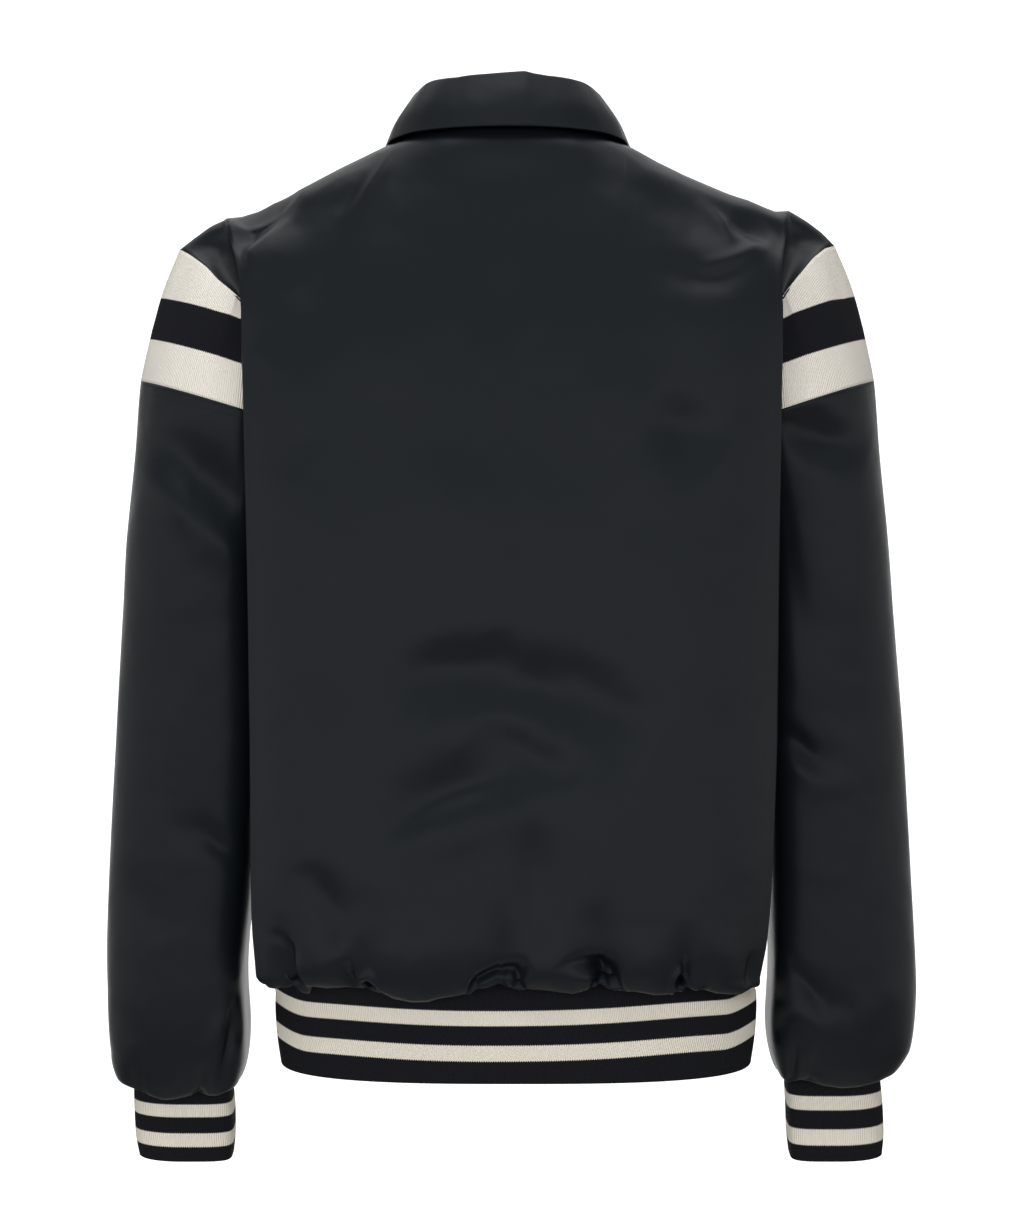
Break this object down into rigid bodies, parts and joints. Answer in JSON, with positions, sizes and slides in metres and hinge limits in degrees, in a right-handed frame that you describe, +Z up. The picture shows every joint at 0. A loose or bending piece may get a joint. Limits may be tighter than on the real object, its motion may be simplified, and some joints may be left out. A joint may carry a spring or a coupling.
{
  "type": "satin varsity jacket",
  "caption": "Hollow satin varsity jacket with a fold-down collar, snap front, striped knit inserts at the shoulders and striped rib cuffs and hem.",
  "frame": {"origin": "middle of the neck opening, at the height of the seam between the back and the collar", "axes": "+Z up, -Y the wearer's front, +X the wearer's left"},
  "size_m": [0.62, 0.277, 0.8218],
  "materials": {
    "satin": "charcoal satin weave, smooth with a soft sheen",
    "insert_knit": "ribbed knit, cream with one broad black stripe, matt",
    "rib_knit": "fine rib knit, black with two cream stripes, matt",
    "snap": "dark enamelled metal cap"
  },
  "bodies": {
    "root": {"back_panel": "satin", "left_front": "satin", "right_front": "satin", "collar": "satin", "left_sleeve": "satin", "right_sleeve": "satin", "left_sleeve_insert": "insert_knit", "right_sleeve_insert": "insert_knit", "left_cuff": "rib_knit", "right_cuff": "rib_knit", "hem_band": "rib_knit", "snap_1": "snap", "snap_2": "snap", "snap_3": "snap", "snap_4": "snap", "snap_5": "snap", "snap_6": "snap", "snap_7": "snap"}
  },
  "joints": []
}
